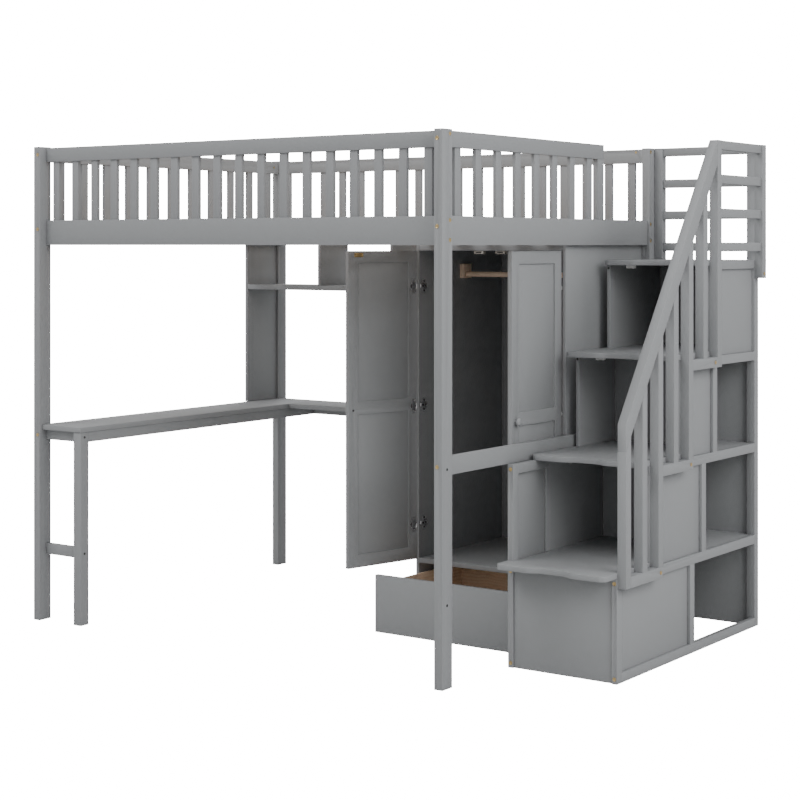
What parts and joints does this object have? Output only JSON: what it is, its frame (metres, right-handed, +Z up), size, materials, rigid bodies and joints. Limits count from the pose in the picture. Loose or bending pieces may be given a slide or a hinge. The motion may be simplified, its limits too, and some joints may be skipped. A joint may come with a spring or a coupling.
{
  "type": "loft bed with desk",
  "caption": "Loft bed over an L-shaped desk, bookshelf, wardrobe with doors and drawer, and box stairs with a slatted handrail.",
  "frame": {"origin": "middle of the whole object's footprint, on the floor", "axes": "+X along the bed towards the stairs, -Y is the front with the doors and drawer, +Z up"},
  "size_m": [2.476, 1.505, 1.88],
  "materials": {
    "grey_paint": "matte grey paint on pine and board",
    "pine": "clear-lacquered pine",
    "steel": "nickel-plated steel",
    "brass": "yellow zinc-plated steel, brass coloured",
    "plastic": "matte white plastic"
  },
  "bodies": {
    "root": {"post_front_left": "grey_paint", "post_front_right": "grey_paint", "post_back_left": "grey_paint", "post_back_right": "grey_paint", "long_rail_front": "grey_paint", "long_rail_back": "grey_paint", "end_rails": "grey_paint", "guard_rail_front": "grey_paint", "guard_rail_back": "grey_paint", "guard_rail_left": "grey_paint", "guard_rail_right": "grey_paint", "guard_slats_front": "grey_paint", "guard_slats_back": "grey_paint", "guard_slats_left": "grey_paint", "guard_slats_right": "grey_paint", "mid_rail": "grey_paint", "slat_supports": "pine", "mattress_slats": "pine", "desk_top_long": "grey_paint", "desk_top_back": "grey_paint", "desk_leg": "grey_paint", "desk_rails": "grey_paint", "desk_aprons": "grey_paint", "shelf_side": "grey_paint", "shelf_board": "grey_paint", "shelf_dividers": "grey_paint", "wardrobe_sides": "grey_paint", "wardrobe_back": "grey_paint", "wardrobe_boards": "grey_paint", "hanging_rod": "pine", "rod_blocks": "pine", "door_catches": "plastic", "hinge_plates": "steel", "drawer_runners": "steel", "stair_inner_wall": "grey_paint", "stair_frame_rails": "grey_paint", "stair_frame_stiles": "grey_paint", "stair_panels": "grey_paint", "stair_partitions": "grey_paint", "stair_floors": "grey_paint", "stair_back": "grey_paint", "treads": "grey_paint", "platform": "grey_paint", "tread_clips": "plastic", "balusters": "grey_paint", "handrail": "grey_paint", "handrail_feet": "grey_paint", "stair_guard_posts": "grey_paint", "stair_guard_rails": "grey_paint", "bolts_and_nuts": "brass"},
    "left_door": {"left_door_frame": "grey_paint", "left_door_panels": "grey_paint", "left_door_fittings": "steel"},
    "right_door": {"right_door_frame": "grey_paint", "right_door_panels": "grey_paint", "right_door_fittings": "steel"},
    "drawer": {"drawer_front": "grey_paint", "drawer_box": "pine", "drawer_bottom": "pine", "drawer_slides": "steel"}
  },
  "joints": [
    {"name": "left_door_hinge", "type": "hinge", "parent": "root", "child": "left_door", "pos_m": [0.032, 0.0755, 0.857], "axis": [0, 0, 1], "range_deg": [0, 105]},
    {"name": "right_door_hinge", "type": "hinge", "parent": "root", "child": "right_door", "pos_m": [0.716, 0.0755, 0.857], "axis": [0, 0, 1], "range_deg": [-90, 0]},
    {"name": "drawer_slide", "type": "slide", "parent": "root", "child": "drawer", "axis": [0, 1, 0], "range_m": [-0.08, 0.287]}
  ]
}
